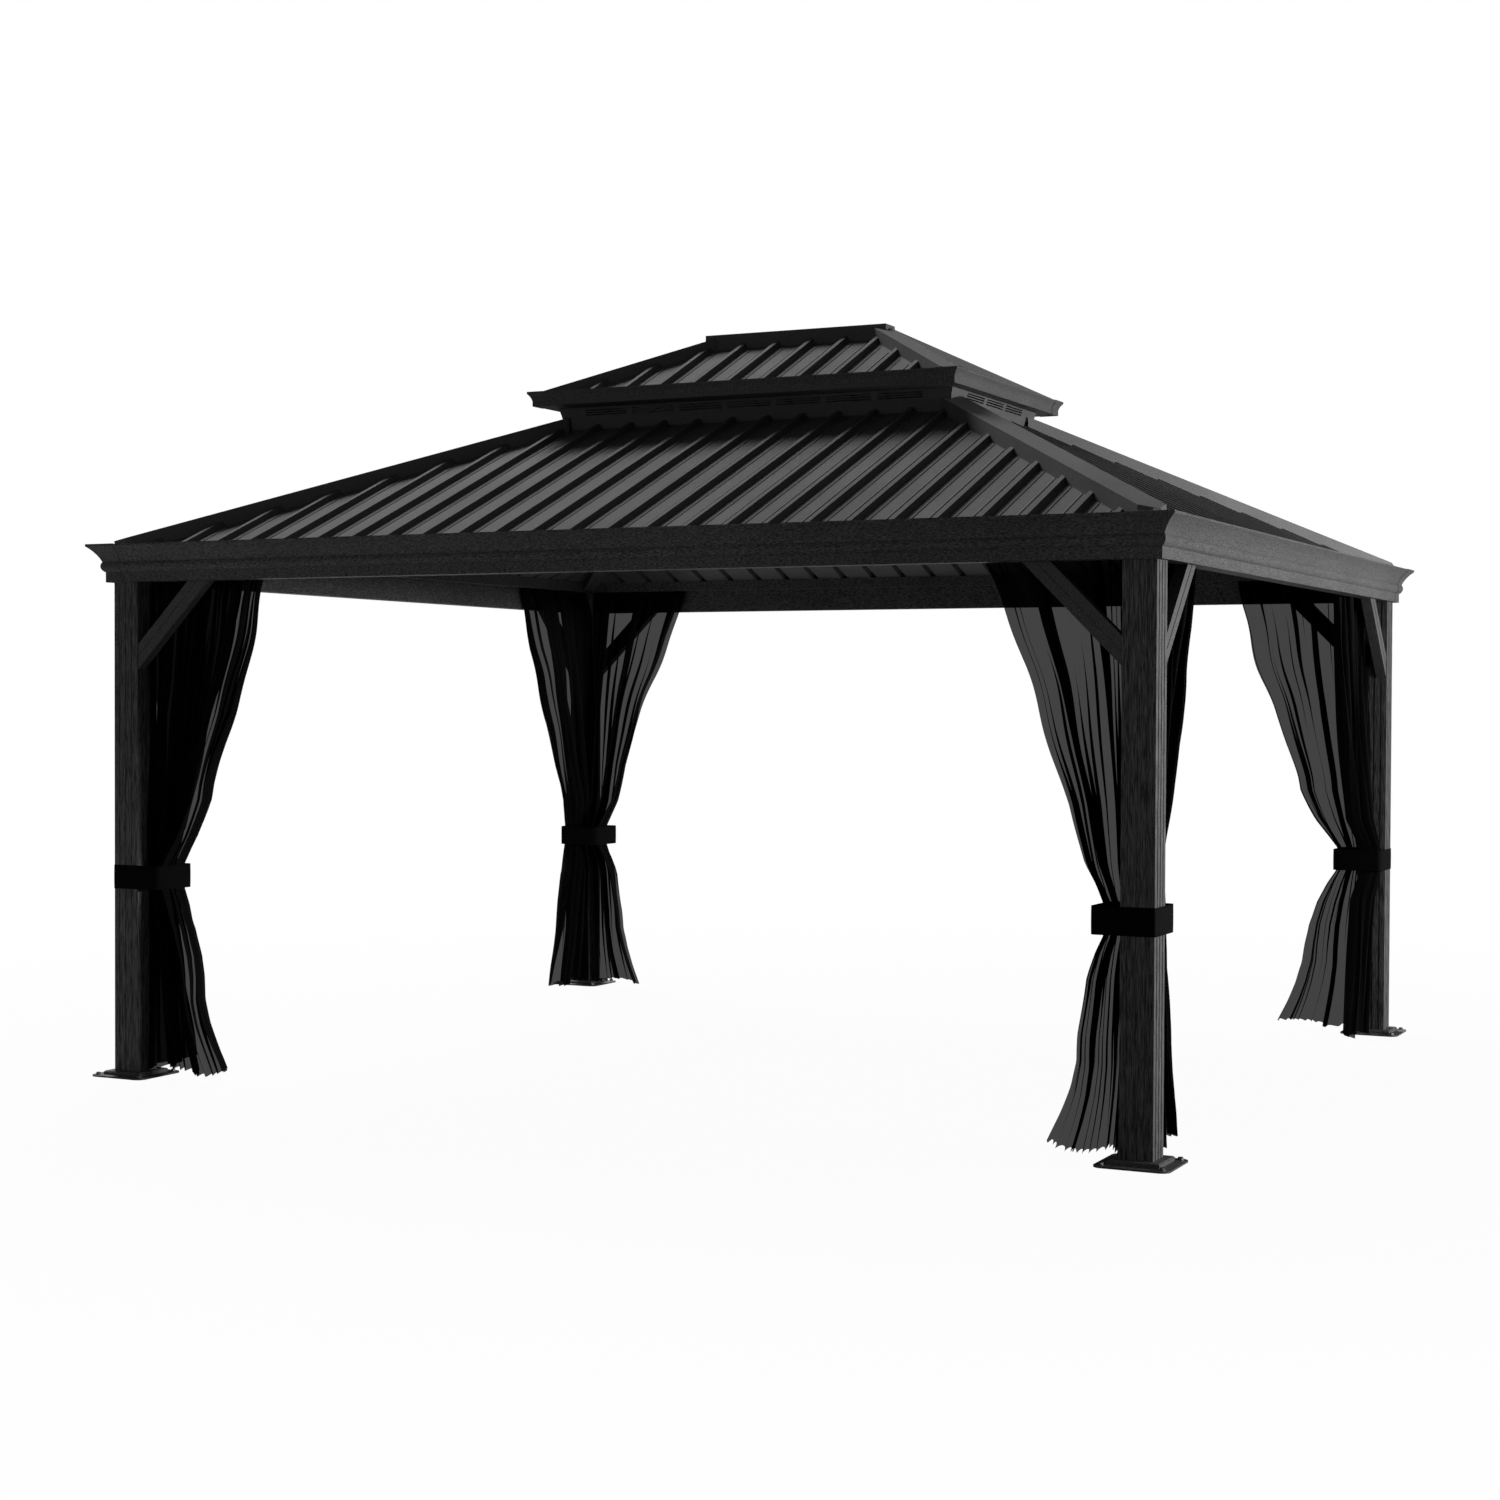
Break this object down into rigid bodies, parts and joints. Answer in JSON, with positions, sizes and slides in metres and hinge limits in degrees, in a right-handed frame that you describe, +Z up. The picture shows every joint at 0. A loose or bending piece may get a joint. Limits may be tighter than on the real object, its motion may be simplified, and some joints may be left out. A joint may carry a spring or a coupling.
{
  "type": "metal gazebo",
  "caption": "Rectangular hardtop gazebo with a two-tier ribbed hip roof, vented between tiers, braced square posts and tied-back mosquito netting.",
  "frame": {"origin": "on the floor, at the middle of the plan", "axes": "+Z up, X along the longer side, the long front side faces -Y"},
  "size_m": [4.2956, 3.7476, 2.9865],
  "materials": {
    "frame_coat": "matt",
    "roof_coat": "satin",
    "vent_coat": "satin",
    "netting": "matt",
    "strap": "matt"
  },
  "bodies": {
    "root": {"post_front_right": "frame_coat", "foot_plate_front_right": "frame_coat", "knee_braces_front_right": "frame_coat", "netting_front_right": "netting", "tie_strap_front_right": "strap", "post_rear_right": "frame_coat", "foot_plate_rear_right": "frame_coat", "knee_braces_rear_right": "frame_coat", "netting_rear_right": "netting", "tie_strap_rear_right": "strap", "post_rear_left": "frame_coat", "foot_plate_rear_left": "frame_coat", "knee_braces_rear_left": "frame_coat", "netting_rear_left": "netting", "tie_strap_rear_left": "strap", "post_front_left": "frame_coat", "foot_plate_front_left": "frame_coat", "knee_braces_front_left": "frame_coat", "netting_front_left": "netting", "tie_strap_front_left": "strap", "eave_beam_front": "frame_coat", "lower_roof_front": "roof_coat", "upper_roof_front": "roof_coat", "eave_beam_right": "frame_coat", "lower_roof_right": "roof_coat", "upper_roof_right": "roof_coat", "eave_beam_rear": "frame_coat", "lower_roof_rear": "roof_coat", "upper_roof_rear": "roof_coat", "eave_beam_left": "frame_coat", "lower_roof_left": "roof_coat", "upper_roof_left": "roof_coat", "eave_corner_caps": "frame_coat", "lower_hip_caps": "roof_coat", "roof_collar_frame": "frame_coat", "hip_rafters": "frame_coat", "vent_walls_long": "vent_coat", "vent_walls_short": "vent_coat", "upper_soffit_ring": "frame_coat", "upper_fascia_long": "frame_coat", "upper_fascia_short": "frame_coat", "upper_corner_caps": "frame_coat", "upper_hip_caps": "roof_coat", "ridge_cap": "roof_coat"}
  },
  "joints": []
}
